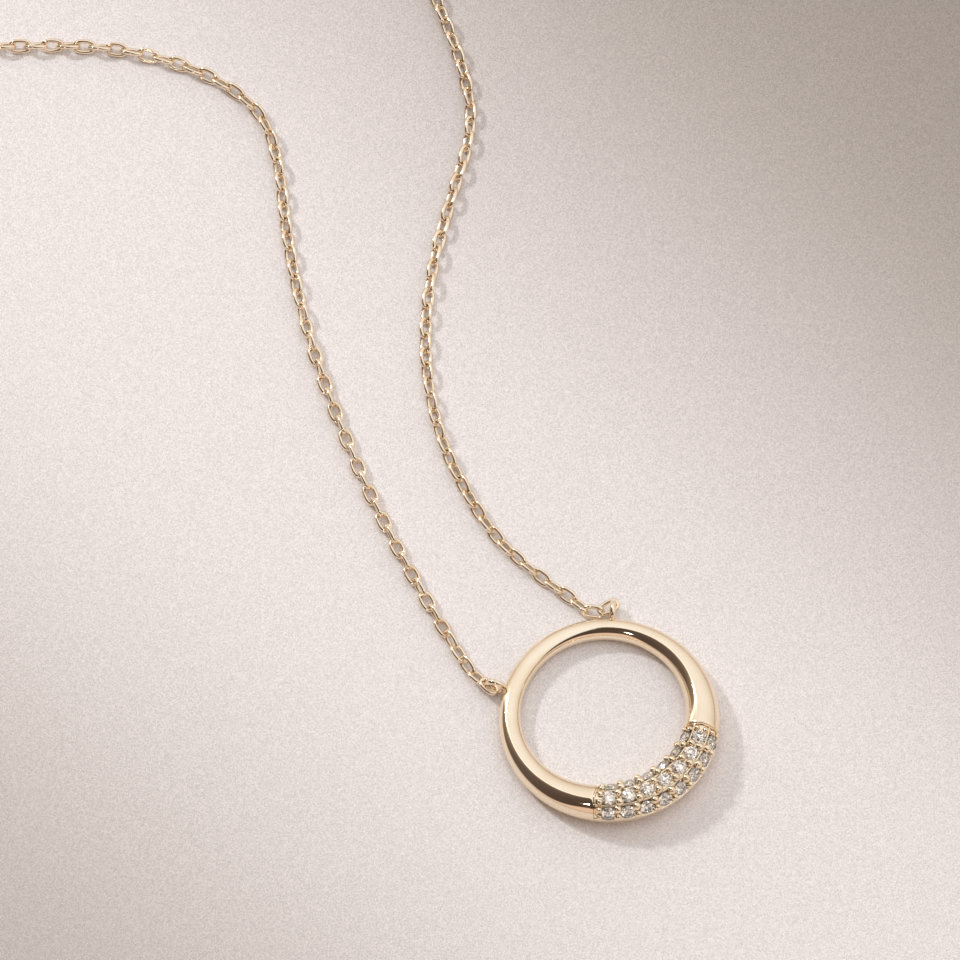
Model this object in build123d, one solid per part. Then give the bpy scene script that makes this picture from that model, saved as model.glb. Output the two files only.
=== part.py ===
from build123d import *
import math
import os

os.makedirs("parts", exist_ok=True)

# Open circle necklace. Millimetres and degrees.
# +Z is up from the surface that the necklace lies on, -Y points to the set stones,
# and the chain leaves towards +Y. The origin is under the middle of the whole outline.

# Ring of the pendant: a round bar bent to a circle, thin at the chain and thick at the stones
thin_bar_radius = 0.70
thick_bar_radius = 1.37
thin_middle_radius = 6.40
thick_middle_radius = 6.63
taper_power = 1.65
back_flat_depth = 0.02
sections_per_half = 9

# Stone-set stretch of the ring
stretch_half_angle = 43.8
stretch_end_skew = 8.6
bed_depth = 0.05
plain_rim_height = 1.42
bed_sections_per_half = 5
bed_overrun_angle = 8.0

# Round brilliants
stone_diameter = 1.00
table_share = 0.55
crown_angle = 34.5
star_angle = 23.0
upper_girdle_angle = 41.5
pavilion_angle = 40.8
lower_girdle_angle = 42.2
girdle_height = 0.03
girdle_sink = 0.08
seat_clearance = 0.03
seat_reach = 0.60
stone_end_margin = 0.40
stone_spin = 17.0

# Rows of stones: the side of the top row that it lies on, the gap across to that row,
# and the gap between one stone and the next along it
top_row_angle = 3.5
rows = [
    {"name": "top", "side": 0, "gap_across": 0.00, "gap_along": 0.343},
    {"name": "outer", "side": 1, "gap_across": 0.24, "gap_along": 0.361},
    {"name": "inner", "side": -1, "gap_across": 0.20, "gap_along": 0.268},
]

# Beads of metal that hold the stones, two in each gap of a row and two small ones past each end
bead_radius = 0.24
end_bead_radius = 0.16
bead_clearance = 0.01
bead_rise = 0.02

# Soldered loops that the chain hooks into, at their angles from straight away from the stones
left_loop_angle = 37.0
right_loop_angle = 40.3
loop_middle_radius = 0.60
loop_wire_radius = 0.20
loop_stand_out = 0.55
loop_middle_height = 0.82

# Chain: its width, and the gap that it keeps from what it hooks into
chain_diameter = 1.00
chain_end_gap = 0.20
left_start_lean = 0.0
right_start_lean = 3.0

# Clasp at the far end of the loop, and the jump ring that it closes on
clasp_eye_x = -5.20
clasp_y = 165.80
eye_middle_radius = 0.65
eye_wire_radius = 0.20
claw_end = 8.40
claw_radius = 1.90
claw_bar = 0.75
claw_height = 0.70
clasp_height = 1.90
clasp_body_radius = 1.50
clasp_body_middle = 3.20
clasp_tail_radius = 0.80
clasp_tail_middle = 1.20
claw_gap_tail_radius = 0.60
claw_gap_tail_middle = 4.60
clasp_edge_fillet = 0.25
jump_ring_middle_radius = 1.00
jump_ring_wire_radius = 0.20
jump_ring_bar_offset = 0.05

# Route of the chain in the pendant's own place, from each loop round to the clasp
left_route = [
    (-5.1, 9.6),
    (-4.6, 13.6),
    (-3.8, 18.7),
    (-2.6, 24.2),
    (-0.8, 30.5),
    (1.2, 36.0),
    (3.9, 41.5),
    (6.4, 45.6),
    (7.9, 49.3),
    (7.3, 52.7),
    (5.6, 56.1),
    (2.3, 60.1),
    (-2.9, 63.9),
    (-9.5, 68.6),
    (-18.5, 75.4),
    (-28.5, 84.5),
    (-37.0, 96.5),
    (-42.0, 110.5),
    (-43.0, 126.0),
    (-39.5, 140.5),
    (-31.5, 153.0),
    (-20.0, 161.4),
]
right_route = [
    (3.7, 8.2),
    (2.8, 10.4),
    (1.95, 14.2),
    (2.25, 18.6),
    (3.4, 23.6),
    (6.0, 28.7),
    (9.8, 33.2),
    (14.3, 36.9),
    (18.8, 40.3),
    (20.8, 44.0),
    (22.3, 48.9),
    (24.1, 55.5),
    (27.6, 66.0),
    (32.4, 79.5),
    (36.9, 94.5),
    (39.3, 110.5),
    (38.6, 127.0),
    (33.8, 142.5),
    (25.0, 155.0),
    (15.0, 162.5),
]
run_share = 0.45


# Ring

def thickness_share(angle_from_stones):
    """1 at the middle of the stones and 0 at the thin side."""
    return ((1 + math.cos(math.radians(angle_from_stones))) / 2) ** taper_power


def bar_radius(angle_from_stones):
    spread = thick_bar_radius - thin_bar_radius
    return thin_bar_radius + spread * thickness_share(angle_from_stones)


def middle_radius(angle_from_stones):
    spread = thick_middle_radius - thin_middle_radius
    return thin_middle_radius + spread * thickness_share(angle_from_stones)


def bar_plane(angle_from_stones):
    """The plane across the bar: x points outwards, y up, and z along the ring."""
    turn = math.radians(angle_from_stones - 90)
    outwards = Vector(math.cos(turn), math.sin(turn), 0)
    middle = outwards * middle_radius(angle_from_stones)
    middle += Vector(0, 0, bar_radius(angle_from_stones) - back_flat_depth)
    return Plane(origin=middle, x_dir=outwards, z_dir=outwards.cross(Vector(0, 0, 1)))


def bar_half(last_angle, section_count, radius_change):
    """One half of the ring's bar, from the middle of the stones to last_angle."""
    faces = []
    for step in range(section_count):
        angle = last_angle * step / (section_count - 1)
        faces.append(bar_plane(angle) * Circle(bar_radius(angle) + radius_change))
    return loft(faces)


def bar_both_halves(last_angle, section_count, radius_change):
    half = bar_half(last_angle, section_count, radius_change)
    return half + mirror(half, about=Plane.YZ)


def stretch_prism():
    """The space between the two ends of the stone-set stretch, above the plain rim."""
    end_middle = middle_radius(stretch_half_angle)
    half_angle = math.radians(stretch_half_angle)
    edge_angle = math.radians(stretch_half_angle - stretch_end_skew)
    side = end_middle * math.sin(half_angle)
    apex_y = -end_middle * math.cos(half_angle) + side / math.tan(edge_angle)
    far = 2 * (thick_middle_radius + thick_bar_radius)
    corner_x = far * math.tan(edge_angle)
    outline = Polyline((0, apex_y), (corner_x, apex_y - far), (-corner_x, apex_y - far), close=True)
    height = 4 * thick_bar_radius
    return Pos(0, 0, plain_rim_height) * extrude(make_face(outline), amount=height)


def row_angle(row):
    """The angle round the bar, from straight up towards the outside, at which a row lies."""
    bed_radius = thick_bar_radius - bed_depth
    across = (stone_diameter + row["gap_across"]) / 2 / bed_radius
    return top_row_angle + row["side"] * 2 * math.degrees(math.asin(min(across, 1)))


def row_radius(row):
    """How far from the ring's centre the row lies, seen from above."""
    bed_radius = thick_bar_radius - bed_depth
    return thick_middle_radius + bed_radius * math.sin(math.radians(row_angle(row)))


def row_pitch(row):
    return stone_diameter + row["gap_along"]


def row_step(row):
    """The angle from one stone of a row to the next."""
    return math.degrees(row_pitch(row) / row_radius(row))


def stone_angles(row):
    """As many stones as fit between the two ends of the stretch, about its middle."""
    arc = 2 * math.radians(stretch_half_angle) * row_radius(row)
    room = arc - stone_diameter - 2 * stone_end_margin
    count = int(room / row_pitch(row)) + 1
    first = -(count - 1) / 2
    return [(first + number) * row_step(row) for number in range(count)]


def on_bed(angle, angle_round_bar, height, spin=0):
    """A place on the bed with its z axis square to the bed and its x axis along the ring."""
    plane = bar_plane(angle)
    turn = math.radians(angle_round_bar)
    normal = plane.x_dir * math.sin(turn) + Vector(0, 0, 1) * math.cos(turn)
    origin = plane.origin + normal * (bar_radius(angle) - bed_depth + height)
    return Plane(origin=origin, x_dir=plane.z_dir, z_dir=normal).location * Rot(0, 0, spin)


def bead_across(row, along, radius):
    """How far to the side of a row's middle a bead sits, so that it clears the stones."""
    reach = stone_diameter / 2 + seat_clearance + bead_clearance + radius
    return math.sqrt(max(reach**2 - along**2, 0))


def beads():
    made = []
    for row in rows:
        angles = stone_angles(row)
        bed_radius = thick_bar_radius - bed_depth
        half_pitch = row_pitch(row) / 2
        end_along = stone_diameter / 2 + seat_clearance + end_bead_radius / 2
        places = [(angle + row_step(row) / 2, half_pitch, bead_radius) for angle in angles[:-1]]
        end_step = math.degrees(end_along / row_radius(row))
        places.append((angles[-1] + end_step, end_along, end_bead_radius))
        places.append((angles[0] - end_step, end_along, end_bead_radius))
        for angle, along, radius in places:
            offset = math.degrees(bead_across(row, along, radius) / bed_radius)
            for side in (-1, 1):
                spot = on_bed(angle, row_angle(row) + side * offset, bead_rise)
                made.append(spot * Sphere(radius))
    return made


# Stones

def crown_height():
    return stone_diameter / 2 * (1 - table_share) * math.tan(math.radians(crown_angle))


def pavilion_depth():
    return stone_diameter / 2 * math.tan(math.radians(pavilion_angle))


def facet_plane(azimuth, distance, height, slope):
    """A facet's plane: it passes through a point at that distance and height, and falls outwards."""
    turn = math.radians(azimuth)
    tilt = math.radians(slope)
    outwards = Vector(math.cos(turn), math.sin(turn), 0)
    normal = outwards * math.sin(tilt) + Vector(0, 0, 1) * math.cos(tilt)
    return Plane(origin=outwards * distance + Vector(0, 0, height), z_dir=normal)


def brilliant():
    """A round brilliant: table, 8 stars, 8 kites, 16 upper girdle facets, 8 mains and 16 halves."""
    radius = stone_diameter / 2
    flat_distance = radius * math.cos(math.pi / 16)
    table_edge = radius * table_share * math.cos(math.pi / 8)
    top = crown_height()
    cuts = []
    for number in range(8):
        azimuth = 45 * number
        cuts.append(facet_plane(azimuth, radius, 0, crown_angle))
        cuts.append(facet_plane(azimuth + 22.5, table_edge, top, star_angle))
        cuts.append(facet_plane(azimuth, radius, -girdle_height, 180 - pavilion_angle))
    for number in range(16):
        azimuth = 22.5 * number + 11.25
        cuts.append(facet_plane(azimuth, flat_distance, 0, upper_girdle_angle))
        cuts.append(facet_plane(azimuth, flat_distance, -girdle_height, 180 - lower_girdle_angle))
    blank_height = top + pavilion_depth() + girdle_height
    outline = RegularPolygon(radius, 16)
    stone = Pos(0, 0, top - blank_height) * extrude(outline, amount=blank_height)
    for cut in cuts:
        stone = split(stone, bisect_by=cut, keep=Keep.BOTTOM)
    return stone


def seat():
    """The drilled cone and the upright wall that a stone drops into."""
    radius = stone_diameter / 2 + seat_clearance
    depth = pavilion_depth() + girdle_height + seat_clearance
    shoulder = -girdle_height - seat_clearance
    profile = Polyline((0, -depth), (radius, shoulder), (radius, seat_reach), (0, seat_reach), close=True)
    return revolve(Plane.XZ * make_face(profile), axis=Axis.Z)


# Soldered loops

def loop_angle(side):
    """side is -1 for the left loop and 1 for the right one."""
    return right_loop_angle if side > 0 else left_loop_angle


def loop_centre(side):
    angle = 180 - loop_angle(side)
    distance = middle_radius(angle) + bar_radius(angle) + loop_stand_out
    turn = math.radians(90 - side * loop_angle(side))
    return Vector(distance * math.cos(turn), distance * math.sin(turn), loop_middle_height)


def soldered_loop(side):
    centre = loop_centre(side)
    outwards = Vector(centre.X, centre.Y, 0).normalized()
    plane = Plane(origin=centre, x_dir=outwards, z_dir=outwards.cross(Vector(0, 0, 1)))
    return plane.location * Torus(loop_middle_radius, loop_wire_radius)


def ring():
    """The bar, its flat back, the bed with its seats and beads, and the two soldered loops."""
    body = bar_both_halves(180, sections_per_half, 0)
    depth = 4 * thick_bar_radius
    width = 4 * (thick_middle_radius + thick_bar_radius)
    body -= Pos(0, 0, -depth / 2) * Box(width, width, depth)
    last_angle = stretch_half_angle + bed_overrun_angle
    bed = bar_both_halves(last_angle, bed_sections_per_half, -bed_depth)
    body -= stretch_prism() - bed
    body = body.fuse(*beads(), soldered_loop(-1), soldered_loop(1))
    cutter = seat()
    seats = []
    for row in rows:
        for angle in stone_angles(row):
            seats.append(on_bed(angle, row_angle(row), -girdle_sink) * cutter)
    return body.cut(*seats)


def stones():
    made = {}
    cut_stone = brilliant()
    for row in rows:
        for number, angle in enumerate(stone_angles(row), start=1):
            spot = on_bed(angle, row_angle(row), -girdle_sink, stone_spin * number)
            made[f"stone_{row['name']}_{number}"] = spot * cut_stone
    return made


# Clasp and jump ring

def tapered_outline(middle, radius, tail_middle, tail_radius):
    """The outline round two circles on the clasp's own line."""
    return make_hull([
        *(Pos(middle, 0) * Circle(radius)).edges(),
        *(Pos(tail_middle, 0) * Circle(tail_radius)).edges(),
    ])


def clasp():
    """A lobster clasp as one closed piece: claw, thicker body and eye."""
    middle_height = clasp_height / 2
    claw_middle = claw_end - claw_radius
    claw = tapered_outline(claw_middle, claw_radius, clasp_tail_middle, clasp_tail_radius)
    body = tapered_outline(clasp_body_middle, clasp_body_radius, clasp_tail_middle, clasp_tail_radius)
    gap_radius = claw_radius - claw_bar
    gap = tapered_outline(claw_middle, gap_radius, claw_gap_tail_middle, claw_gap_tail_radius)
    low_claw = middle_height - claw_height / 2
    piece = Pos(0, 0, low_claw) * extrude(claw, amount=claw_height)
    thick_body = extrude(body, amount=clasp_height)
    thick_body = fillet(thick_body.edges().group_by(Axis.Z)[0] + thick_body.edges().group_by(Axis.Z)[-1],
                        clasp_edge_fillet)
    piece = piece + thick_body
    piece -= extrude(gap, amount=clasp_height)
    piece += Pos(0, 0, middle_height) * Torus(eye_middle_radius, eye_wire_radius)
    return Pos(clasp_eye_x, clasp_y) * piece


def jump_ring_centre():
    """Upright on the surface, round the claw's bar."""
    bar_middle = clasp_eye_x + claw_end - claw_bar / 2
    height = jump_ring_middle_radius + jump_ring_wire_radius
    return Vector(bar_middle + jump_ring_bar_offset, clasp_y, height)


def jump_ring():
    plane = Plane(origin=jump_ring_centre(), x_dir=(1, 0, 0), z_dir=(0, -1, 0))
    return plane.location * Torus(jump_ring_middle_radius, jump_ring_wire_radius)


# Chain

def chain_start(side, lean):
    """Just clear of a soldered loop's outermost point, leaning towards the chain's way out."""
    centre = loop_centre(side)
    reach = math.hypot(centre.X, centre.Y) + loop_middle_radius + loop_wire_radius
    turn = math.radians(90 - side * (loop_angle(side) - lean))
    distance = reach + chain_end_gap
    return (distance * math.cos(turn), distance * math.sin(turn))


def chain_tube(points):
    """The space of the chain: straight runs joined by tangent arcs, flat on the surface."""
    spots = [Vector(x, y, chain_diameter / 2) for x, y in points]
    runs = [spots[number + 1] - spots[number] for number in range(len(spots) - 1)]
    radii = []
    for before, after in zip(runs, runs[1:]):
        half_turn = math.radians(before.get_angle(after) / 2)
        radii.append(run_share * min(before.length, after.length) / math.tan(half_turn))
    path = FilletPolyline(*spots, radius=radii)
    section = Plane(origin=path @ 0, z_dir=path % 0) * Circle(chain_diameter / 2)
    tube = sweep(section, path=path)
    expected = math.pi * (chain_diameter / 2) ** 2 * path.length
    print("chain length", round(path.length, 1), "volume", round(tube.volume, 2), "of", round(expected, 2))
    print("arc radii", [round(radius, 1) for radius in radii])
    return tube


eye_reach = eye_middle_radius + eye_wire_radius
left_end = (clasp_eye_x - eye_reach - chain_end_gap, clasp_y)
ring_reach = jump_ring_middle_radius + jump_ring_wire_radius
right_end = (jump_ring_centre().X + ring_reach + chain_end_gap, clasp_y)

pieces = {
    "ring": ring(),
    "chain_left": chain_tube([chain_start(-1, left_start_lean), *left_route, left_end]),
    "chain_right": chain_tube([chain_start(1, right_start_lean), *right_route, right_end]),
    "clasp": clasp(),
    "jump_ring": jump_ring(),
}
pieces.update(stones())

outline_box = Compound(children=[Compound(piece.solids()) for piece in pieces.values()]).bounding_box()
centre = outline_box.center()
to_origin = Pos(-centre.X, -centre.Y, 0)
print("the ring's centre lies at", round(-centre.X, 3), round(-centre.Y, 3))
for name, piece in pieces.items():
    export_step(to_origin * Compound(piece.solids()), f"parts/{name}.step")
print(len(pieces), "pieces, outline", outline_box.size)
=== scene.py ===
# %% [markdown]
# # An open circle necklace
# A small gold ring, set with three rows of round stones on its thick side, hangs on a fine chain.
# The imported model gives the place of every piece. This lesson dresses it: the ring is polished
# and carved, the chain gets its real links, and the stones get a clear finish.
# Everything is modelled in millimetres about the ring's centre, as on a jeweller's bench,
# and is put down in metres at the end of each step.

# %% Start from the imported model
import math
import random

import bmesh
import bpy
from mathutils import Matrix, Vector


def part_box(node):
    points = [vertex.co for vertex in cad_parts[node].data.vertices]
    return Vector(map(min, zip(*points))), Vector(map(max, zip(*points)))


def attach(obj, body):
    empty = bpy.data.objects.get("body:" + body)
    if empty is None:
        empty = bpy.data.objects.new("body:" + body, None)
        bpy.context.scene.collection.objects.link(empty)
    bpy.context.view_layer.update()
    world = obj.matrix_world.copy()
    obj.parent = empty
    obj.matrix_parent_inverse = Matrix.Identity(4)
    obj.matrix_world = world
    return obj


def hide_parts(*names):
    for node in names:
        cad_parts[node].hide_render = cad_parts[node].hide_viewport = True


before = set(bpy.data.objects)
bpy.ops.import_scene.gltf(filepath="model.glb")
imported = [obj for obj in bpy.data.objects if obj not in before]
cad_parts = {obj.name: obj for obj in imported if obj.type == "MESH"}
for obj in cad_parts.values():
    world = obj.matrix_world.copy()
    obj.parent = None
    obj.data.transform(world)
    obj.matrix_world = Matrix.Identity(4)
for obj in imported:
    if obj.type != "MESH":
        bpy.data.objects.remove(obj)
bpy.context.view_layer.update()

# %% [markdown]
# ## The bench
# The model's origin is under the middle of the whole necklace, and the ring lies at its near end.
# One helper puts an object in the scene. Another takes a mesh from the bench to its place. It also
# makes the normals point outwards, because a spin can leave them turned inwards, and marks
# the edges that stay crisp.

# %% Put a bench mesh down in the model
mm = 0.001
up = Vector((0, 0, 1))
ring_place = Vector((1.800, -79.765, 0))
ring_low, ring_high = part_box("ring")
print("ring middle", round((ring_low.x + ring_high.x) / 2 / mm, 3), "of", ring_place.x)


def in_scene(name, data):
    """A new object with this data, linked into the scene."""
    item = bpy.data.objects.new(name, data)
    bpy.context.scene.collection.objects.link(item)
    return item


def put_down(bm, name, crisp_from=None):
    """Takes a mesh from the bench to its place in the model; edges sharper than the angle stay crisp."""
    bmesh.ops.translate(bm, verts=bm.verts, vec=ring_place)
    bmesh.ops.scale(bm, verts=bm.verts, vec=(mm, mm, mm))
    bmesh.ops.recalc_face_normals(bm, faces=bm.faces)
    mesh = bpy.data.meshes.new(name)
    bm.to_mesh(mesh)
    bm.free()
    mesh.shade_smooth()
    if crisp_from is not None:
        mesh.set_sharp_from_angle(angle=math.radians(crisp_from))
    print(name, len(mesh.polygons), "faces")
    return in_scene(name, mesh)


# %% [markdown]
# ## How thick the ring is
# The real ring is a round bar that swells from 1.4 mm at the chain to 2.7 mm at the stones.
# One smooth law gives the bar's radius and the radius of its middle line at any angle,
# counted in degrees from the middle of the stones. It is the law of the model's own source.

# %% The law of the bar
thin_bar_radius = 0.70
thick_bar_radius = 1.37
thin_middle_radius = 6.40
thick_middle_radius = 6.63
taper_power = 1.65
back_flat_depth = 0.02


def smooth(share):
    share = min(max(share, 0), 1)
    return share * share * (3 - 2 * share)


def thickness_share(angle):
    return ((1 + math.cos(math.radians(angle))) / 2) ** taper_power


def bar_radius(angle):
    return thin_bar_radius + (thick_bar_radius - thin_bar_radius) * thickness_share(angle)


def middle_radius(angle):
    return thin_middle_radius + (thick_middle_radius - thin_middle_radius) * thickness_share(angle)


def outwards(angle):
    turn = math.radians(angle - 90)
    return Vector((math.cos(turn), math.sin(turn), 0))


def across_bar(angle, around):
    turn = math.radians(around)
    return outwards(angle) * math.sin(turn) + up * math.cos(turn)


def bar_middle(angle):
    return outwards(angle) * middle_radius(angle) + up * (bar_radius(angle) - back_flat_depth)


print("bar at the stones", round(2 * bar_radius(0), 2), "mm, at the chain", round(2 * bar_radius(180), 2))

# %% [markdown]
# ## The polished bar
# On the real ring the bar is cast and polished by hand. Here a circle is spun into a plain tyre,
# and each of its points is then moved onto the bar's own surface. The grid of a spun shape
# is even, so long reflections run over it without ripples, as they do on real polish.
# Rows of the grid are led to the edges of the stone-set stretch: its two ends, which are
# a little skewed, and the plain rim below the outer stones.

# %% Spin the tyre and move it onto the bar
section_sides = 48
ring_steps = 180
stretch_half_angle = 43.8
stretch_end_skew = 8.6
plain_rim_height = 1.42
grid_half_angle = 44
rim_fade_angle = 45
skew_fade_angle = 70
tyre_radius = 3


def tyre_angles(co):
    """A point of the tyre as its angle from the stones and its angle round the bar."""
    distance = math.hypot(co.x, co.y)
    return math.degrees(math.atan2(co.x, -co.y)), math.degrees(math.atan2(distance - tyre_radius, co.z))


def led_angle(angle):
    """Leads the grid row at grid_half_angle to the end of the stretch."""
    size = abs(angle)
    if size <= grid_half_angle:
        size *= stretch_half_angle / grid_half_angle
    else:
        size = 180 - (180 - size) * (180 - stretch_half_angle) / (180 - grid_half_angle)
    return math.copysign(size, angle)


def led_around(around, angle):
    """Leads the grid row at the widest place to the top of the plain rim."""
    past_end = smooth((abs(angle) - stretch_half_angle) / rim_fade_angle)
    radius = bar_radius(min(abs(angle), stretch_half_angle))
    rim = math.degrees(math.acos((plain_rim_height + back_flat_depth) / radius - 1))
    rim += (90 - rim) * past_end
    if abs(around) <= 90:
        return around * rim / 90
    return math.copysign(180 - (180 - abs(around)) * (180 - rim) / 90, around)


def skewed_angle(angle, around):
    """Turns the grid rows near the two ends of the stretch to the skew of its lips."""
    size = abs(angle)
    if size <= stretch_half_angle:
        skew = stretch_end_skew * smooth(size / stretch_half_angle)
    else:
        skew = stretch_end_skew * (1 - smooth((size - stretch_half_angle) / skew_fade_angle))
    offset = bar_radius(angle) * math.sin(math.radians(around))
    shift = offset * math.tan(math.radians(skew)) / (middle_radius(angle) + offset)
    return angle - math.copysign(math.degrees(shift), angle)


bar = bmesh.new()
bmesh.ops.create_circle(bar, segments=section_sides, radius=1)
bmesh.ops.rotate(bar, verts=bar.verts, cent=(0, 0, 0), matrix=Matrix.Rotation(math.pi / 2, 3, "X"))
bmesh.ops.translate(bar, verts=bar.verts, vec=(tyre_radius, 0, 0))
bmesh.ops.spin(bar, geom=bar.verts[:] + bar.edges[:], cent=(0, 0, 0), axis=up,
               angle=2 * math.pi, steps=ring_steps, use_merge=True)
bmesh.ops.recalc_face_normals(bar, faces=bar.faces)
bed_faces = []
for face in bar.faces:
    angle, around = tyre_angles(face.calc_center_median())
    if abs(angle) < grid_half_angle and abs(around) < 90:
        bed_faces.append(face)
for vert in bar.verts:
    angle, around = tyre_angles(vert.co)
    angle = led_angle(angle)
    around = led_around(around, angle)
    angle = skewed_angle(angle, around)
    vert.co = bar_middle(angle) + across_bar(angle, around) * bar_radius(angle)
print("bar", len(bar.faces), "faces, of them", len(bed_faces), "on the bed")

# %% [markdown]
# ## The bed of the stones
# A setter cuts the metal back inside a crisp lip and leaves a narrow polished border within
# a fine groove. Four insets carve it: the wall of the lip, the border's own rise, its flat top,
# and the step down to the cut-back metal. Then the lip and the border get tiny bevels,
# which are what catches the light on the real one.

# %% Carve the bed and its lips
bed_depth = 0.05
cut_depth = 0.18
groove_depth = 0.12
border_depth = 0.03
lip_wall = 0.02
border_width = 0.09
lip_bevel = 0.02
border_bevel = 0.025


def edges_round(faces):
    """The edges between these faces and the rest of the mesh."""
    inside = set(faces)
    return [edge for edge in {edge for face in faces for edge in face.edges}
            if any(other not in inside for other in edge.link_faces)]


def step_in(width, rise):
    """Insets the faces of the bed, and lifts them by the rise."""
    bmesh.ops.inset_region(bar, faces=bed_faces, thickness=width, depth=rise,
                           use_boundary=True, use_even_offset=True)


rim_edges = edges_round(bed_faces)
step_in(lip_wall, -groove_depth)
step_in(lip_wall, groove_depth - border_depth)
border_edges = edges_round(bed_faces)
step_in(border_width, 0)
border_edges += edges_round(bed_faces)
step_in(lip_wall, border_depth - cut_depth)
for edges, offset in ((rim_edges, lip_bevel), (border_edges, border_bevel)):
    bmesh.ops.bevel(bar, geom=edges, offset=offset, offset_type="OFFSET", segments=2,
                    profile=0.5, affect="EDGES", material=-1, clamp_overlap=True)
print("carved bar", len(bar.faces), "faces")

# %% [markdown]
# ## The flat back
# A pendant is rubbed flat where it lies on the skin. The bar is cut at the surface
# that it lies on, and the two open edges are bridged by one flat band.

# %% Rub the back flat
on_plane_distance = 0.0001
bmesh.ops.bisect_plane(bar, geom=bar.verts[:] + bar.edges[:] + bar.faces[:], dist=on_plane_distance,
                       plane_co=(0, 0, 0), plane_no=(0, 0, -1), clear_outer=True)
open_edges = [edge for edge in bar.edges if edge.is_boundary]
bmesh.ops.bridge_loops(bar, edges=open_edges)
print("open edges left", sum(edge.is_boundary for edge in bar.edges))

# %% [markdown]
# ## Where the stones sit
# The stones lie in three rows round the bar: one on top, one on the outer flank and one
# on the inner flank. The rows share one rule, so that the places here are those of the model.

# %% Places of the stones
stone_diameter = 1.00
girdle_height = 0.03
girdle_sink = 0.08
seat_clearance = 0.03
stone_end_margin = 0.40
top_row_angle = 3.5
rows = [
    {"name": "top", "side": 0, "gap_across": 0.00, "gap_along": 0.343},
    {"name": "outer", "side": 1, "gap_across": 0.24, "gap_along": 0.361},
    {"name": "inner", "side": -1, "gap_across": 0.20, "gap_along": 0.268},
]
bed_radius = thick_bar_radius - bed_depth


def row_around(row):
    across = (stone_diameter + row["gap_across"]) / 2 / bed_radius
    return top_row_angle + row["side"] * 2 * math.degrees(math.asin(across))


def row_radius(row):
    return thick_middle_radius + bed_radius * math.sin(math.radians(row_around(row)))


def row_pitch(row):
    return stone_diameter + row["gap_along"]


def row_step(row):
    return math.degrees(row_pitch(row) / row_radius(row))


def stone_angles(row):
    arc = 2 * math.radians(stretch_half_angle) * row_radius(row)
    count = int((arc - stone_diameter - 2 * stone_end_margin) / row_pitch(row)) + 1
    return [(number - (count - 1) / 2) * row_step(row) for number in range(count)]


def on_bed(angle, around, height):
    """A place above the stones' bed level, with z square to it and x along the ring."""
    normal = across_bar(angle, around)
    along = outwards(angle).cross(up)
    turn = Matrix((along, normal.cross(along), normal)).transposed().to_4x4()
    origin = bar_middle(angle) + normal * (bar_radius(angle) - bed_depth + height)
    return Matrix.Translation(origin) @ turn


print("stones", {row["name"]: len(stone_angles(row)) for row in rows})

# %% [markdown]
# ## Drilled seats
# Each stone drops into a drilled cone with a short upright wall. The profile of the drill
# has four points, which are spun round the stone's axis. All the drills are taken from the bar
# in one cut, on the bench, where the numbers are large enough for a clean result.

# %% Drill the seats
drill_sides = 32
drill_reach = 0.60
merge_distance = 0.0005
pavilion_angle = 40.8
pavilion_depth = stone_diameter / 2 * math.tan(math.radians(pavilion_angle))
crisp_angle = 32


def add_drill(bm, place):
    """The shape that one drill cuts, with the stone's place as its own."""
    before = set(bm.verts)
    radius = stone_diameter / 2 + seat_clearance
    tip = -pavilion_depth - girdle_height - seat_clearance
    profile = [(0, tip), (radius, -girdle_height - seat_clearance), (radius, drill_reach), (0, drill_reach)]
    points = [bm.verts.new((x, 0, z)) for x, z in profile]
    edges = [bm.edges.new(pair) for pair in zip(points, points[1:])]
    bmesh.ops.spin(bm, geom=points + edges, cent=(0, 0, 0), axis=up,
                   angle=2 * math.pi, steps=drill_sides, use_merge=True)
    made = [vert for vert in bm.verts if vert not in before]
    bmesh.ops.transform(bm, matrix=place, verts=made)


drills = bmesh.new()
for row in rows:
    for angle in stone_angles(row):
        add_drill(drills, on_bed(angle, row_around(row), -girdle_sink))
bmesh.ops.remove_doubles(drills, verts=drills.verts, dist=merge_distance)
bmesh.ops.recalc_face_normals(drills, faces=drills.faces)


def bench_object(bm, name):
    """A mesh of the bench as an object of its own, for a cut."""
    mesh = bpy.data.meshes.new(name)
    bm.to_mesh(mesh)
    bm.free()
    return in_scene(name, mesh)


def cut_away(body, tool):
    """Takes the tool from the body, and gives back the cut mesh on the bench."""
    bmesh.ops.recalc_face_normals(body, faces=body.faces)
    block = bench_object(body, "block")
    drill = bench_object(tool, "drill")
    cut = block.modifiers.new("seats", "BOOLEAN")
    cut.operation = "DIFFERENCE"
    cut.solver = "EXACT"
    cut.object = drill
    shaped = bpy.data.meshes.new_from_object(block.evaluated_get(bpy.context.evaluated_depsgraph_get()))
    result = bmesh.new()
    result.from_mesh(shaped)
    bpy.data.objects.remove(drill)
    bpy.data.objects.remove(block)
    bpy.data.meshes.remove(shaped)
    return result


bar = cut_away(bar, drills)
assert len(bar.faces) > 0, "the cut left nothing of the bar"
print("drilled bar", len(bar.faces), "faces, open edges", sum(edge.is_boundary for edge in bar.edges))
ring_bar = put_down(bar, "ring_bar", crisp_from=crisp_angle)

# %% [markdown]
# ## Beads of metal
# The setter raises a bead in each corner between the stones and pushes it over their edges.
# Beads are small polished domes, two in every gap of a row and two smaller ones past each end of it.
# They are a little larger between the top and the outer row, where the gap is wider.

# %% Raise the beads
bead_radius = 0.285
wide_bead_radius = 0.305
end_bead_radius = 0.20
bead_reach = 0.745
wide_bead_reach = 0.77
end_bead_reach = 0.69
bead_stand = 0.24
end_bead_gap = 0.075
beads = bmesh.new()


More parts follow.
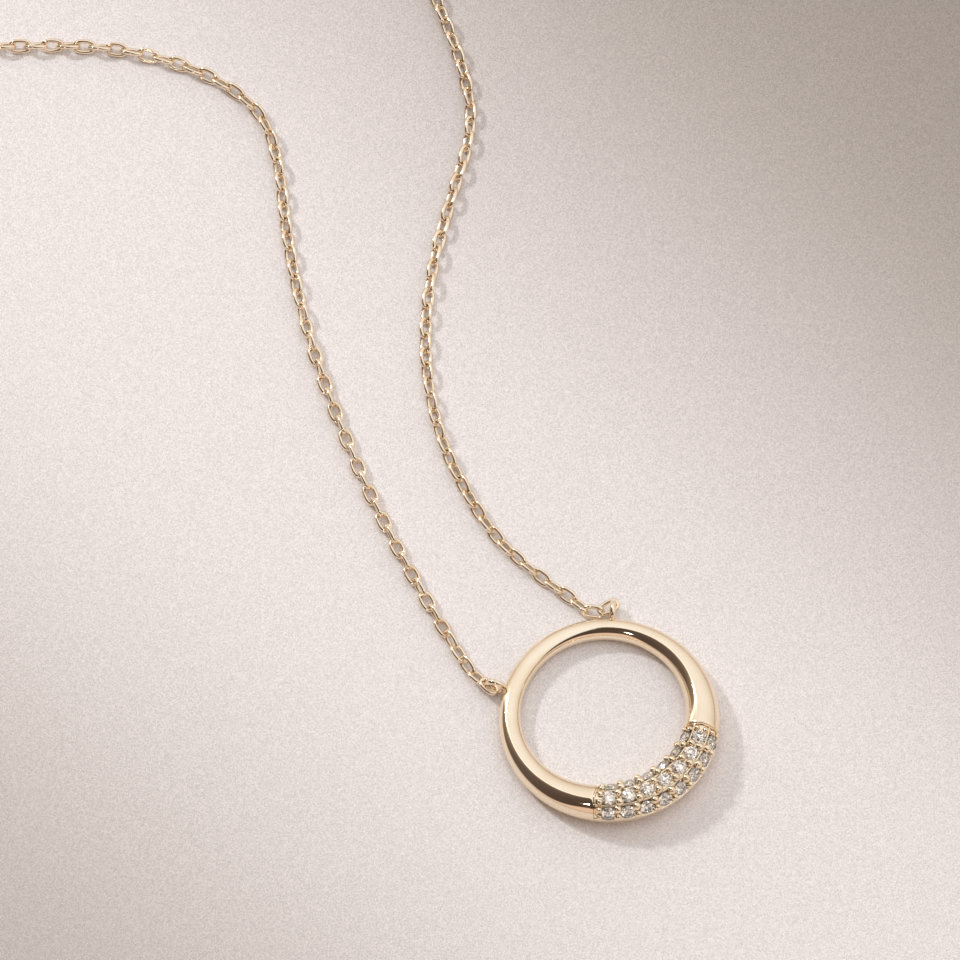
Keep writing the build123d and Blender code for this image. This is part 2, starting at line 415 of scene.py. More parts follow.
def raise_bead(angle, around, radius):
    """A ball that stands out of the bed only by its upper part."""
    place = on_bed(angle, around, bead_stand * min(radius / bead_radius, 1) - radius)
    bmesh.ops.create_icosphere(beads, subdivisions=3, radius=radius, matrix=place)


for row in rows:
    angles = stone_angles(row)
    end_along = stone_diameter / 2 + seat_clearance + end_bead_gap
    end_step = math.degrees(end_along / row_radius(row))
    end_across = math.degrees(math.sqrt(end_bead_reach ** 2 - end_along ** 2) / bed_radius)
    for side in (-1, 1):
        wide = (row["name"], side) in (("top", 1), ("outer", -1))
        radius, reach = (wide_bead_radius, wide_bead_reach) if wide else (bead_radius, bead_reach)
        across = math.degrees(math.sqrt(reach ** 2 - (row_pitch(row) / 2) ** 2) / bed_radius)
        for angle in angles[:-1]:
            raise_bead(angle + row_step(row) / 2, row_around(row) + side * across, radius)
        for angle in (angles[0] - end_step, angles[-1] + end_step):
            raise_bead(angle, row_around(row) + side * end_across, end_bead_radius)

# %% [markdown]
# ## Ridges between the rows
# A thin ridge of metal is left standing along each of the two gaps between the rows. It breaks
# the room's dark reflection into short bright strokes. A wire is spun through the stretch's angle
# and then bent onto the bed. Its two ends are buried in the lips.

# %% Leave the ridges standing
ridge_radius = 0.09
ridge_stand = -0.02
ridge_half_angle = 43.4
ridge_sides = 10
ridge_steps = 60


def upright_circle(bm, sides, radius, distance):
    """A circle that stands upright at a distance along x, ready for a spin."""
    section = bmesh.ops.create_circle(bm, segments=sides, radius=radius)["verts"]
    bmesh.ops.rotate(bm, verts=section, cent=(0, 0, 0), matrix=Matrix.Rotation(math.pi / 2, 3, "X"))
    bmesh.ops.translate(bm, verts=section, vec=(distance, 0, 0))
    return section


def raise_ridge(around):
    """A wire bent along the bed at one angle round the bar."""
    before = set(beads.verts)
    section = upright_circle(beads, ridge_sides, ridge_radius, tyre_radius)
    bmesh.ops.rotate(beads, verts=section, cent=(0, 0, 0),
                     matrix=Matrix.Rotation(-math.radians(90 + ridge_half_angle), 3, "Z"))
    edges = {edge for vert in section for edge in vert.link_edges}
    bmesh.ops.spin(beads, geom=section + list(edges), cent=(0, 0, 0), axis=up,
                   angle=math.radians(2 * ridge_half_angle), steps=ridge_steps, use_merge=False)
    for vert in beads.verts:
        if vert not in before:
            angle = math.degrees(math.atan2(vert.co.x, -vert.co.y))
            aside = vert.co.xy.length - tyre_radius
            vert.co = on_bed(angle, around, ridge_stand - ridge_radius) @ Vector((0, aside, vert.co.z))


top_row, outer_row, inner_row = rows
for row in (outer_row, inner_row):
    raise_ridge((row_around(top_row) + row_around(row)) / 2)
bead_grains = put_down(beads, "bead_grains")

# %% [markdown]
# ## Soldered loops
# Two small wire loops stand on the ring's outer edge, in planes that pass through its middle,
# and the chain hooks into them. Each is a wire circle spun once round.

# %% Solder the loops
left_loop_angle = 37.0
right_loop_angle = 40.3
loop_middle_radius = 0.60
loop_wire_radius = 0.20
loop_stand_out = 0.55
loop_middle_height = 0.82
loop_steps = 48
loop_sides = 20


def wire_ring(bm, middle_radius, wire_radius, steps, sides, place):
    """A closed ring of round wire; its own axis is the place's z."""
    section = upright_circle(bm, sides, wire_radius, middle_radius)
    before = set(bm.verts) - set(section)
    edges = {edge for vert in section for edge in vert.link_edges}
    bmesh.ops.spin(bm, geom=section + list(edges), cent=(0, 0, 0), axis=up,
                   angle=2 * math.pi, steps=steps, use_merge=True)
    made = [vert for vert in bm.verts if vert not in before]
    bmesh.ops.transform(bm, matrix=place, verts=made)


def loop_angle(side):
    return right_loop_angle if side > 0 else left_loop_angle


def loop_direction(side):
    turn = math.radians(90 - side * loop_angle(side))
    return Vector((math.cos(turn), math.sin(turn), 0))


def loop_place(side):
    direction = loop_direction(side)
    angle = 180 - loop_angle(side)
    distance = middle_radius(angle) + bar_radius(angle) + loop_stand_out
    turn = Matrix((direction, up, direction.cross(up))).transposed().to_4x4()
    return Matrix.Translation(direction * distance + up * loop_middle_height) @ turn


loops = bmesh.new()
for side in (-1, 1):
    wire_ring(loops, loop_middle_radius, loop_wire_radius, loop_steps, loop_sides, loop_place(side))
soldered_loops = put_down(loops, "soldered_loops")

# %% [markdown]
# ## One link
# A cable chain is made of equal oval links of round wire. A link is a small wire ring that is moved
# onto a full oval, a little squarer than an ellipse, with every section kept square to the wire.
# It is repeated hundreds of times, so it has under a hundred faces and smooth shading.

# %% Bend one link
link_length = 1.69
link_width = 1.06
link_wire_radius = 0.15
link_steps = 16
link_sides = 6
link_fullness = 2.5
link_pitch = 1.09


def on_oval(turn):
    """A point of the wire's middle line, and the direction that points away from the link there."""
    half_length = link_length / 2 - link_wire_radius
    half_width = link_width / 2 - link_wire_radius
    ahead = math.copysign(abs(math.cos(turn)) ** (2 / link_fullness), math.cos(turn))
    aside = math.copysign(abs(math.sin(turn)) ** (2 / link_fullness), math.sin(turn))
    steep_ahead = math.copysign(abs(ahead) ** (link_fullness - 1), ahead) / half_length
    steep_aside = math.copysign(abs(aside) ** (link_fullness - 1), aside) / half_width
    return (Vector((half_length * ahead, half_width * aside, 0)),
            Vector((steep_ahead, steep_aside, 0)).normalized())


def one_link():
    blank = bmesh.new()
    half_step = Matrix.Rotation(math.pi / link_steps, 4, "Z")
    wire_ring(blank, 1, link_wire_radius, link_steps, link_sides, half_step)
    for vert in blank.verts:
        turn = math.atan2(vert.co.y, vert.co.x)
        middle, outside = on_oval(turn)
        vert.co = middle + outside * (vert.co.xy.length - 1) + up * vert.co.z
    mesh = bpy.data.meshes.new("link")
    blank.to_mesh(mesh)
    blank.free()
    return mesh


link = one_link()
print("link", len(link.polygons), "faces")

# %% [markdown]
# ## The route of the chain
# Each side of the chain follows one smooth line: the named points are the control points
# of a NURBS spline. The points are those of the model's own tube, apart from the first one or two
# and the last few, where the links leave the tube for the pendant, the clasp and the jump ring.
# At the pendant one loose link hangs round each soldered loop, and the line starts in it.

# %% Lay the route
route_height = 0.5
line_resolution = 24
left_route = [
    (-5.25, 7.7), (-5.1, 9.6), (-4.6, 13.6), (-3.8, 18.7), (-2.6, 24.2), (-0.8, 30.5), (1.2, 36.0),
    (3.9, 41.5), (6.4, 45.6), (7.9, 49.3), (7.3, 52.7), (5.6, 56.1), (2.3, 60.1),
    (-2.9, 63.9), (-9.5, 68.6), (-18.5, 75.4), (-28.5, 84.5), (-37.0, 96.5), (-42.0, 110.5),
    (-43.0, 126.0), (-39.5, 140.5), (-31.5, 153.0), (-20.0, 161.4),
]
right_route = [
    (3.7, 6.75), (3.5, 8.2), (2.8, 10.4), (1.95, 14.2), (2.25, 18.6), (3.4, 23.6), (6.0, 28.7),
    (9.8, 33.2), (14.3, 36.9), (18.8, 40.3), (20.8, 44.0), (22.3, 48.9), (24.1, 55.5),
    (27.6, 66.0), (32.4, 79.5), (36.9, 94.5), (39.3, 110.5), (38.6, 127.0), (33.8, 142.5),
    (25.0, 155.0), (15.0, 162.5),
]


def line_length(line):
    return sum((b - a).length for a, b in zip(line, line[1:]))


def laid_line(name, points):
    """Points read from the smooth line through a route, in millimetres on the bench."""
    curve = bpy.data.curves.new(name, "CURVE")
    curve.dimensions = "3D"
    curve.resolution_u = line_resolution
    spline = curve.splines.new("NURBS")
    spline.points.add(len(points) - 1)
    for point, place in zip(spline.points, points):
        point.co = (*(Vector(place) + ring_place) * mm, 1)
    spline.order_u = 3
    spline.use_endpoint_u = True
    holder = in_scene(name, curve)
    mesh = bpy.data.meshes.new_from_object(holder)
    line = [vert.co / mm - ring_place for vert in mesh.vertices]
    bpy.data.objects.remove(holder)
    bpy.data.meshes.remove(mesh)
    print(name, "line", round(line_length(line), 1), "mm,", len(line), "points")
    return line


def flat_points(route):
    return [(x, y, route_height) for x, y in route]


clasp_y = 165.80
clasp_hook = (-5.54, clasp_y, 0.95)
ring_hook = (3.24, clasp_y, 0.50)
to_clasp = [(-9.4, 165.1, 0.50), (-7.0, 165.75, 0.55), clasp_hook]
to_jump_ring = [(6.5, 165.6, 0.50), ring_hook]
loose_reach = link_length / 2 - 3 * link_wire_radius
loose_left = {"centre": Vector((-4.95, 6.47, 0.66)), "ahead": Vector((-0.12, 0.99, -0.10)), "lean": 15}
loose_right = {"centre": Vector((4.98, 6.32, 0.64)), "ahead": Vector((-0.975, 0.16, -0.15)), "lean": 5}


def line_start(loose):
    return loose["centre"] + loose["ahead"] * loose_reach


left_line = laid_line("left_route", [line_start(loose_left), *flat_points(left_route), *to_clasp])
right_line = laid_line("right_route", [line_start(loose_right), *flat_points(right_route), *to_jump_ring])

# %% [markdown]
# ## Links along the route
# Neighbouring links are a quarter turn apart. Where the lean is 0 or 90 degrees they lie flat and
# stand on edge by turns, as on the left side near the pendant. Where the whole chain is twisted by
# about 45 degrees they all lean alike, as on the right side. A lean table gives that twist
# in degrees at distances along the way in millimetres. Standing links hold the flat ones up
# a little, so each link's height follows from its own lean and from those of its neighbours.

# %% Hook the links together
leans_left = [
    (0, 40), (2, 38), (6, 8), (20, -8), (34, 40), (60, 48), (80, 20), (120, 50), (170, 30), (400, 90),
]
leans_right = [(0, -45), (3, -48), (20, -49), (30, -48), (60, -40), (110, -60), (400, -90)]
lean_scatter = 7
link_settle = 0.14


def along(table, distance):
    """Reads a table of leans at a distance, and passes smoothly from row to row."""
    for (start, low), (end, high) in zip(table, table[1:]):
        if distance <= end:
            return low + (high - low) * smooth((distance - start) / (end - start))
    return table[-1][1]


def at_distance(line, distance):
    """The point of a line that lies at a distance along it."""
    for a, b in zip(line, line[1:]):
        step = (b - a).length
        if distance <= step:
            return a + (b - a) * (distance / step)
        distance -= step
    return line[-1] + (line[-1] - line[-2]).normalized() * distance


def lowest_height(lean):
    """The height of a link's middle when the link just touches the surface."""
    reach = link_width / 2 - link_wire_radius
    return reach * abs(math.sin(math.radians(lean))) + link_wire_radius


def add_link(strand, centre, ahead, lean):
    """Puts one link into a strand; a link that leans 0 degrees lies flat."""
    ahead = ahead.normalized()
    side = up.cross(ahead).normalized()
    turn = math.radians(lean)
    wide = side * math.cos(turn) + ahead.cross(side) * math.sin(turn)
    place = Matrix((ahead, wide, ahead.cross(wide))).transposed().to_4x4()
    before = len(strand.verts)
    strand.from_mesh(link)
    strand.verts.ensure_lookup_table()
    bmesh.ops.transform(strand, matrix=Matrix.Translation(centre) @ place, verts=strand.verts[before:])


def hang_links(name, line, leans, seed, loose):
    """One side of the chain: links at an even pitch along a line, and a loose one at its start."""
    length = line_length(line)
    end = link_length / 2 - link_wire_radius
    count = round((length - 2 * end) / link_pitch) + 1
    pitch = (length - 2 * end) / (count - 1)
    dice = random.Random(seed)
    turns = [along(leans, end + number * pitch) + 90 * (number % 2) for number in range(count)]
    turns = [turn + dice.uniform(-1, 1) * lean_scatter for turn in turns]
    own = [lowest_height(turn) for turn in turns]
    strand = bmesh.new()
    for number in range(count):
        distance = end + number * pitch
        centre = at_distance(line, distance)
        ahead = at_distance(line, distance + end) - at_distance(line, distance - end)
        near = own[max(number - 1, 0):number + 2]
        held = (sum(near) - own[number]) / max(len(near) - 1, 1) - link_settle
        centre.z += max(own[number], held) - route_height
        add_link(strand, centre, ahead, turns[number])
    add_link(strand, **loose)
    print(name, count + 1, "links, pitch", round(pitch, 3), "mm")
    return put_down(strand, name)


strand_left = hang_links("strand_left", left_line, leans_left, seed=3, loose=loose_left)
strand_right = hang_links("strand_right", right_line, leans_right, seed=5, loose=loose_right)
bpy.data.meshes.remove(link)

# %% [markdown]
# ## Shared effects
# Real gold is never one colour: hand polish leaves soft clouds of tone, faint wipe marks and
# a surface that is not quite even. One node group makes all three, and each gold finish
# uses it with its own values. It only puts out a colour and plain values.

# %% Helpers for nodes
def new_group(name, inputs, outputs):
    group = bpy.data.node_groups.new(name, "ShaderNodeTree")
    for label, kind, value in inputs:
        socket = group.interface.new_socket(name=label, in_out="INPUT", socket_type=kind)
        socket.default_value = value
    for label, kind in outputs:
        group.interface.new_socket(name=label, in_out="OUTPUT", socket_type=kind)
    return group, group.nodes.new("NodeGroupInput"), group.nodes.new("NodeGroupOutput")


def feed(links, socket, value):
    """Sets a socket to a plain number or colour, or links it to the output of a node."""
    if isinstance(value, (int, float)):
        socket.default_value = value
    elif isinstance(value, tuple):
        socket.default_value = (*value, 1)
    else:
        links.new(value, socket)


def noise(nodes, links, vector, scale, detail, roughness=0.5):
    node = nodes.new("ShaderNodeTexNoise")
    node.inputs["Scale"].default_value = scale
    node.inputs["Detail"].default_value = detail
    node.inputs["Roughness"].default_value = roughness
    links.new(vector, node.inputs["Vector"])
    return node


def math_node(nodes, links, operation, first, second):
    node = nodes.new("ShaderNodeMath")
    node.operation = operation
    feed(links, node.inputs[0], first)
    feed(links, node.inputs[1], second)
    return node.outputs[0]


def spread(nodes, links, value, low, high, to_low, to_high):
    """Spreads the values from low to high smoothly over another range."""
    node = nodes.new("ShaderNodeMapRange")
    node.interpolation_type = "SMOOTHSTEP"
    for label, end in (("Value", value), ("From Min", low), ("From Max", high),
                       ("To Min", to_low), ("To Max", to_high)):
        feed(links, node.inputs[label], end)
    return node.outputs["Result"]


def mixed(nodes, links, factor, first, second, blend="MIX"):
    """Mixes a second colour over the first, by a factor from 0 to 1."""
    node = nodes.new("ShaderNodeMix")
    node.data_type = "RGBA"
    node.blend_type = blend
    for label, value in (("Factor", factor), ("A", first), ("B", second)):
        feed(links, node.inputs[label], value)
    return node.outputs["Result"]


def ramp(nodes, links, value, stops, interpolation="LINEAR"):
    """A scale of colours, read at a value."""
    node = nodes.new("ShaderNodeValToRGB")
    node.color_ramp.interpolation = interpolation
    elements = node.color_ramp.elements
    while len(elements) < len(stops):
        elements.new(0.5)
    for stop, (position, tone) in zip(elements, stops):
        stop.position = position
        stop.color = (*tone, 1)
    links.new(value, node.inputs["Fac"])
    return node.outputs["Color"]


# %% Build the polish group
cloud_scale = 420
wipe_scale = 1800
wipe_stretch = (1, 9, 1)
wipe_turn = (0.4, 0.2, 0.7)
swell_scale = 260
polish, polish_in, polish_out = new_group(
    "hand polish",
    [("Light tone", "NodeSocketColor", (1, 1, 1, 1)),
     ("Deep tone", "NodeSocketColor", (1, 1, 1, 1)),
     ("Gloss", "NodeSocketFloat", 0.05),
     ("Wipe marks", "NodeSocketFloat", 0.05)],
    [("Tone", "NodeSocketColor"), ("Roughness", "NodeSocketFloat"), ("Height", "NodeSocketFloat")])
nodes, links = polish.nodes, polish.links
place = nodes.new("ShaderNodeTexCoord").outputs["Object"]
clouds = noise(nodes, links, place, cloud_scale, 3)
cloud_share = spread(nodes, links, clouds.outputs["Fac"], 0.35, 0.65, 0, 1)
tone = mixed(nodes, links, cloud_share, polish_in.outputs["Light tone"], polish_in.outputs["Deep tone"])
links.new(tone, polish_out.inputs["Tone"])
stretched = nodes.new("ShaderNodeMapping")
stretched.inputs["Rotation"].default_value = wipe_turn
stretched.inputs["Scale"].default_value = wipe_stretch
links.new(place, stretched.inputs["Vector"])
wipes = noise(nodes, links, stretched.outputs["Vector"], wipe_scale, 4, 0.6)
marks = spread(nodes, links, wipes.outputs["Fac"], 0.45, 0.8, 0, polish_in.outputs["Wipe marks"])
links.new(math_node(nodes, links, "ADD", polish_in.outputs["Gloss"], marks), polish_out.inputs["Roughness"])
swell = noise(nodes, links, place, swell_scale, 1)
links.new(swell.outputs["Fac"], polish_out.inputs["Height"])

# %% [markdown]
# ## Gold
# The metal is a pale yellow gold of about 14 carat: it gives back 96% of red light, 82% of green
# and 63% of blue. The ring and beads are polished to a mirror, the chain a little less.

# %% Mix the gold finishes
def new_material(name):
    material = bpy.data.materials.new(name)
    material.use_nodes = True
    tree = material.node_tree
    return material, tree.nodes, tree.links, tree.nodes["Principled BSDF"]


def gold(name, light_tone, deep_tone, gloss, wipe_marks, swell_height):
    material, nodes, links, shader = new_material(name)
    effect = nodes.new("ShaderNodeGroup")
    effect.node_tree = polish
    for label, value in (("Light tone", light_tone), ("Deep tone", deep_tone),
                         ("Gloss", gloss), ("Wipe marks", wipe_marks)):
        feed(links, effect.inputs[label], value)
    relief = nodes.new("ShaderNodeBump")
    relief.inputs["Strength"].default_value = 1
    relief.inputs["Distance"].default_value = swell_height
    links.new(effect.outputs["Height"], relief.inputs["Height"])
    links.new(effect.outputs["Tone"], shader.inputs["Base Color"])
    links.new(effect.outputs["Roughness"], shader.inputs["Roughness"])
    links.new(relief.outputs["Normal"], shader.inputs["Normal"])
    shader.inputs["Metallic"].default_value = 1
    return material


ring_gold = gold("mirror polished gold", (0.96, 0.82, 0.63), (0.93, 0.78, 0.58),
                 gloss=0.075, wipe_marks=0.05, swell_height=0.008 * mm)
bead_gold = gold("bright bead gold", (0.96, 0.82, 0.62), (0.90, 0.74, 0.52),
                 gloss=0.06, wipe_marks=0.08, swell_height=0.004 * mm)
chain_gold = gold("tumbled chain gold", (0.97, 0.83, 0.64), (0.92, 0.755, 0.56),
                  gloss=0.11, wipe_marks=0.08, swell_height=0.004 * mm)

# %% [markdown]
# ## Clear stones
# A diamond bends light strongly, so its facets flash white or go dark as a whole. The finish is
# clear glass with diamond's index of 2.42. Faint clouds of tone and a trace of dust keep it
# from looking like empty air.

# %% Mix the clear finish
diamond_index = 2.417
stone_cloud_scale = 2400
dust_scale = 9000
clear_stone, nodes, links, shader = new_material("clear brilliant")
place = nodes.new("ShaderNodeTexCoord").outputs["Object"]
clouds = noise(nodes, links, place, stone_cloud_scale, 2)
tint = mixed(nodes, links, clouds.outputs["Fac"], (1.0, 1.0, 1.0), (0.95, 0.93, 0.92))
links.new(tint, shader.inputs["Base Color"])
dust = noise(nodes, links, place, dust_scale, 2)
links.new(spread(nodes, links, dust.outputs["Fac"], 0.55, 0.8, 0.0, 0.12), shader.inputs["Roughness"])
shader.inputs["IOR"].default_value = diamond_index
shader.inputs["Transmission Weight"].default_value = 1
stones = [node for name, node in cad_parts.items() if name.startswith("stone_")]
for stone in stones:
    stone.data.materials.clear()
    stone.data.materials.append(clear_stone)
print(len(stones), "stones")

# %% Dress the gold pieces
for piece in (ring_bar, soldered_loops):
    piece.data.materials.append(ring_gold)
bead_grains.data.materials.append(bead_gold)
for piece in (strand_left, strand_right):
    piece.data.materials.append(chain_gold)
for name in ("clasp", "jump_ring"):
    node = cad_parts[name]
    node.data.materials.clear()
    node.data.materials.append(chain_gold)

# %% [markdown]
# ## The camera
# The picture was taken with a long lens from 66.5 degrees above the surface. The necklace is turned
# by 36.5 degrees under it. A lens that is far away keeps near and far links the same size.

# %% Aim the camera
picture_turn = math.radians(36.5)
picture_rise = math.radians(66.5)
picture_right = Vector((math.cos(picture_turn), -math.sin(picture_turn), 0))
picture_away = Vector((math.sin(picture_turn), math.cos(picture_turn), 0))
picture_middle = (Vector((3.75, 19.24, 0)) + ring_place) * mm
picture_width = 64.865 * mm
film_width = 36
camera_distance = 2.5
camera_back = up * math.sin(picture_rise) - picture_away * math.cos(picture_rise)
lens_data = bpy.data.cameras.new("camera")
lens_data.sensor_width = film_width
lens_data.lens = film_width * camera_distance / picture_width
lens_data.clip_start = 0.05
lens_data.clip_end = 10
camera = in_scene("camera", lens_data)
camera_turn = Matrix((picture_right, camera_back.cross(picture_right), camera_back)).transposed().to_4x4()
camera.matrix_world = Matrix.Translation(picture_middle + camera_back * camera_distance) @ camera_turn
bpy.context.scene.camera = camera
print("lens", round(lens_data.lens), "mm")

# %% [markdown]
# ## The surface
# The necklace lies on a plain pale sheet with a very fine grain. A broad band of window light is painted
# into its colour: the painted light is brightest along that band and falls off on both sides.

# %% Lay the surface
sheet_half_width = 1.2
sheet = bmesh.new()
bmesh.ops.create_grid(sheet, x_segments=1, y_segments=1, size=sheet_half_width)
mesh = bpy.data.meshes.new("surface")
sheet.to_mesh(mesh)
sheet.free()
surface = in_scene("surface", mesh)

# %% Grain it and paint the band of light into its colour
grain_scale = 24000
grain_low = 0.73
grain_high = 1.07
tooth_scale = 9000
tooth_height = 0.01 * mm
# Painted light: these stops darken the sheet's colour away from a band of window light, as painted shade on
# both sides of it.
band_width = 100 * mm
band_angle = math.radians(45)
painted_light_stops = [(0.02, (0.62, 0.60, 0.57)), (0.15, (0.78, 0.76, 0.74)), (0.28, (0.96, 0.96, 0.95)),
              (0.38, (1, 1, 1)), (0.53, (1, 1, 1)), (0.62, (0.91, 0.90, 0.90)),
              (0.74, (0.71, 0.68, 0.66)), (0.85, (0.53, 0.50, 0.47)), (0.98, (0.42, 0.39, 0.36))]
paper, nodes, links, shader = new_material("pale grained sheet, painted light band")
place = nodes.new("ShaderNodeTexCoord").outputs["Object"]
grain = nodes.new("ShaderNodeTexVoronoi")
grain.voronoi_dimensions = "2D"
grain.inputs["Scale"].default_value = grain_scale
links.new(place, grain.inputs["Vector"])
grain_parts = nodes.new("ShaderNodeSeparateXYZ")
links.new(grain.outputs["Color"], grain_parts.inputs["Vector"])
speckle = spread(nodes, links, grain_parts.outputs["X"], 0, 1, grain_low, grain_high)
band = nodes.new("ShaderNodeMapping")
band.vector_type = "TEXTURE"
band.inputs["Location"].default_value = picture_middle
band.inputs["Rotation"].default_value = (0, 0, band_angle - picture_turn)
band.inputs["Scale"].default_value = (band_width, band_width, band_width)
links.new(place, band.inputs["Vector"])
parts = nodes.new("ShaderNodeSeparateXYZ")
links.new(band.outputs["Vector"], parts.inputs["Vector"])
across_band = math_node(nodes, links, "ADD", parts.outputs["X"], 0.5)
# The painted light band multiplies the sheet's colour; no lamp casts it.
painted_light_falloff = ramp(nodes, links, across_band, painted_light_stops, "B_SPLINE")
sheet_tone_with_painted_light = mixed(nodes, links, 1, (0.95, 0.89, 0.865), painted_light_falloff, "MULTIPLY")
links.new(mixed(nodes, links, 1, sheet_tone_with_painted_light, speckle, "MULTIPLY"), shader.inputs["Base Color"])
tooth = nodes.new("ShaderNodeBump")
tooth.inputs["Strength"].default_value = 1
tooth.inputs["Distance"].default_value = tooth_height
links.new(noise(nodes, links, place, tooth_scale, 2).outputs["Fac"], tooth.inputs["Height"])
links.new(tooth.outputs["Normal"], shader.inputs["Normal"])
shader.inputs["Roughness"].default_value = 0.9
shader.inputs["Specular IOR Level"].default_value = 0.2
surface.data.materials.append(paper)

# %% [markdown]
# ## Studio light
# Polished gold shows the room rather than itself. The far side of the room is a bright soft
# wall, warmer at its foot. The near left side is dark, which draws the brown bands on the ring,
# and its foot shows the pale table. A bright streak marks the curtain beside the window.
# Light that comes through a stone sees many small panes, as facets cut the room into pieces.
# They are dimmer towards the dark side and towards the viewer.
# The window is the key light from the far left, a small lamp adds the sparks,
# and a wide lamp overhead, which the gold does not show, lifts the shadows.

# %% Find the parts of the room
wall_start = 1.41
wall_start_slope = 0.86
dark_side_end = -2.08
dark_side_fade = 0.22
curtain_angle = -2.23
world = bpy.data.worlds.new("studio")
bpy.context.scene.world = world
world.use_nodes = True
nodes = world.node_tree.nodes
links = world.node_tree.links
nodes.clear()
ray = nodes.new("ShaderNodeTexCoord").outputs["Generated"]
turned = nodes.new("ShaderNodeMapping")
turned.inputs["Rotation"].default_value = (0, 0, picture_turn)
links.new(ray, turned.inputs["Vector"])
parts = nodes.new("ShaderNodeSeparateXYZ")
links.new(turned.outputs["Vector"], parts.inputs["Vector"])
to_right, to_away, to_up = parts.outputs["X"], parts.outputs["Y"], parts.outputs["Z"]
from_front = math_node(nodes, links, "ARCTAN2", to_right, math_node(nodes, links, "MULTIPLY", to_away, -1))
rise = math_node(nodes, links, "ARCSINE", to_up, 0)
nearer_with_rise = math_node(nodes, links, "MULTIPLY", rise, wall_start_slope)
right_end = math_node(nodes, links, "SUBTRACT", wall_start, nearer_with_rise)
past_end = math_node(nodes, links, "SUBTRACT", from_front, right_end)
past_right = spread(nodes, links, past_end, -0.05, 0.1, 0, 1)
past_left = spread(nodes, links, from_front, dark_side_end - dark_side_fade, dark_side_end, 1, 0)
bright = math_node(nodes, links, "MAXIMUM", past_right, past_left)
dark_foot = spread(nodes, links, to_right, -0.85, -0.35, 0.08, 0.49)
dark_foot = math_node(nodes, links, "SUBTRACT", dark_foot, spread(nodes, links, to_right, 0.3, 0.9, 0, 0.2))
above_foot = math_node(nodes, links, "SUBTRACT", to_up, dark_foot)
foot = spread(nodes, links, above_foot, -0.04, 0.04, 1, 0)
foot = math_node(nodes, links, "MULTIPLY", foot, math_node(nodes, links, "SUBTRACT", 1, bright))
from_curtain = math_node(nodes, links, "SUBTRACT", from_front, curtain_angle)
streak = spread(nodes, links, math_node(nodes, links, "ABSOLUTE", from_curtain, 0), 0.01, 0.09, 0.8, 0)

# %% Colour the room
wall_tones = [(0.0, (0.70, 0.61, 0.54)), (0.42, (0.89, 0.845, 0.805)), (0.77, (0.985, 0.97, 0.985)),
              (1.0, (1.03, 1.05, 1.08))]
far_dark = (0.125, 0.098, 0.084)
near_dark = (0.080, 0.058, 0.048)
dark_edge = (0.26, 0.19, 0.14)
table_tone = (0.80, 0.62, 0.535)
curtain_tone = (1.8, 1.75, 1.7)
dark = mixed(nodes, links, spread(nodes, links, from_front, -1.7, -0.6, 0, 1), far_dark, near_dark)
dark = mixed(nodes, links, spread(nodes, links, from_front, -2.1, -1.7, 1, 0), dark, dark_edge)
scenery = mixed(nodes, links, bright, dark, ramp(nodes, links, to_up, wall_tones))
scenery = mixed(nodes, links, foot, scenery, table_tone)
scenery = mixed(nodes, links, streak, scenery, curtain_tone)
room = nodes.new("ShaderNodeBackground")
links.new(scenery, room.inputs["Color"])

# %% Cut the room into panes for the stones
pane_scale = 4.5
pane_low = 0.05
pane_high = 2.16
warm_pane = (1.0, 0.835, 0.69)
pale_pane = (1.0, 0.885, 0.775)
panes = noise(nodes, links, ray, pane_scale, 2)
glitter = nodes.new("ShaderNodeBackground")
links.new(mixed(nodes, links, bright, warm_pane, pale_pane), glitter.inputs["Color"])
pane_light = spread(nodes, links, panes.outputs["Fac"], 0.45, 0.54, pane_low, pane_high)
side_light = math_node(nodes, links, "MULTIPLY", spread(nodes, links, bright, 0, 1, 0.68, 1.05),
                       spread(nodes, links, to_away, -0.85, -0.1, 0.48, 1.0))
links.new(math_node(nodes, links, "MULTIPLY", pane_light, side_light), glitter.inputs["Strength"])

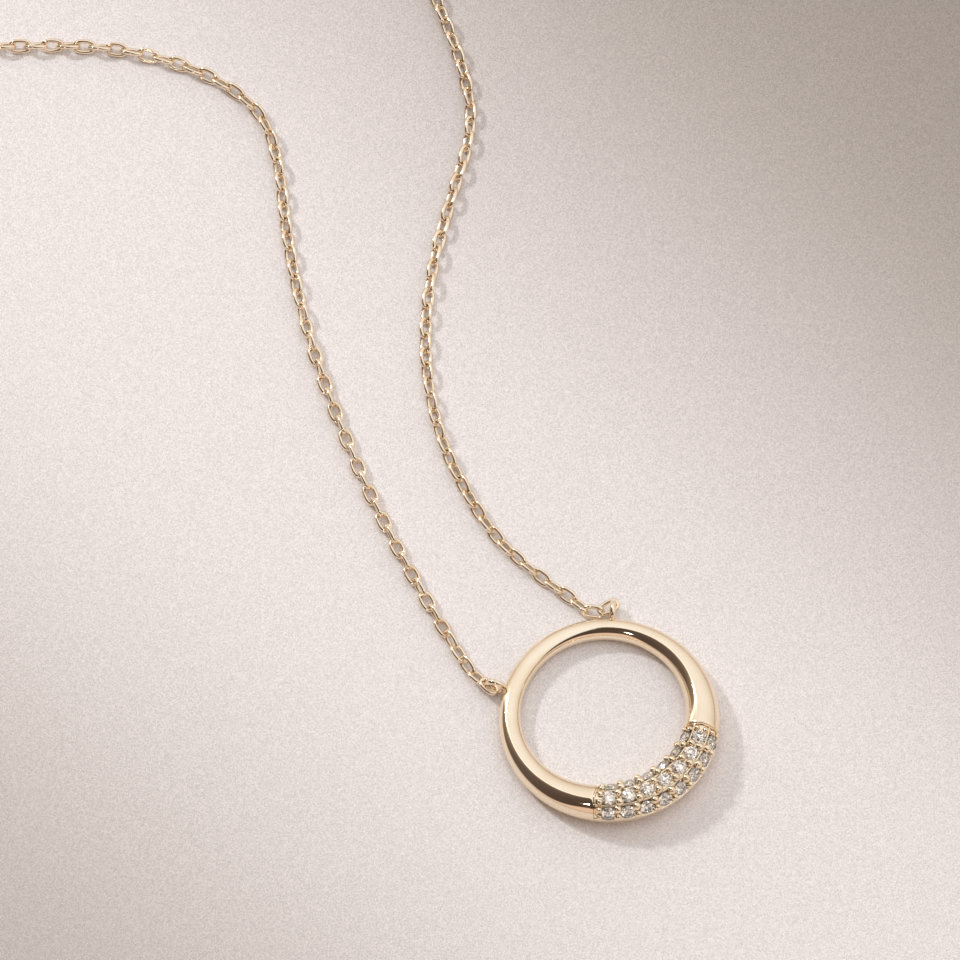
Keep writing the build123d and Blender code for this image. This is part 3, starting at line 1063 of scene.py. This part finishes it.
# %% Show each kind of ray its own room
backdrop_tone = (0.80, 0.75, 0.72)
backdrop = nodes.new("ShaderNodeBackground")
feed(links, backdrop.inputs["Color"], backdrop_tone)
path = nodes.new("ShaderNodeLightPath")
through_stone = nodes.new("ShaderNodeMixShader")
links.new(path.outputs["Is Transmission Ray"], through_stone.inputs["Fac"])
links.new(room.outputs["Background"], through_stone.inputs[1])
links.new(glitter.outputs["Background"], through_stone.inputs[2])
choice = nodes.new("ShaderNodeMixShader")
links.new(path.outputs["Is Camera Ray"], choice.inputs["Fac"])
links.new(through_stone.outputs["Shader"], choice.inputs[1])
links.new(backdrop.outputs["Background"], choice.inputs[2])
output = nodes.new("ShaderNodeOutputWorld")
links.new(choice.outputs["Shader"], output.inputs["Surface"])

# %% Hang the lamps
lamp_distance = 0.6


def hang_lamp(name, azimuth, rise, size, power, colour):
    """A soft oval lamp, placed by its direction in the picture and aimed at the ring."""
    azimuth = math.radians(azimuth)
    rise = math.radians(rise)
    level = picture_right * math.cos(azimuth) + picture_away * math.sin(azimuth)
    back = level * math.cos(rise) + up * math.sin(rise)
    data = bpy.data.lights.new(name, "AREA")
    data.shape = "ELLIPSE"
    data.size, data.size_y = size
    data.energy = power
    data.color = colour
    lamp = in_scene(name, data)
    lamp.location = ring_place * mm + back * lamp_distance
    lamp.rotation_mode = "QUATERNION"
    lamp.rotation_quaternion = back.to_track_quat("Z", "Y")
    lamp.visible_camera = False
    return lamp


hang_lamp("window", azimuth=141, rise=39, size=(0.06, 0.06), power=1.18, colour=(0.96, 0.98, 1.0))
hang_lamp("spark", azimuth=-123, rise=52, size=(0.05, 0.07), power=0.14, colour=(1.0, 0.98, 0.95))
overhead = hang_lamp("overhead", azimuth=0, rise=90, size=(0.4, 0.4), power=0.55, colour=(1.0, 1.0, 1.0))
overhead.visible_glossy = False
overhead.visible_transmission = False

bpy.context.scene.view_settings.view_transform = "Standard"
bpy.context.scene.view_settings.look = "None"

# %% [markdown]
# ## Hand the pieces over
# Every new piece rides on the model's one body, and the imported solids that the new pieces take the place
# of are hidden.

# %% Ride, and hide the replaced solids
for piece in (ring_bar, bead_grains, soldered_loops, strand_left, strand_right):
    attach(piece, "root")
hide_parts("ring")
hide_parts("chain_left")
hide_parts("chain_right")
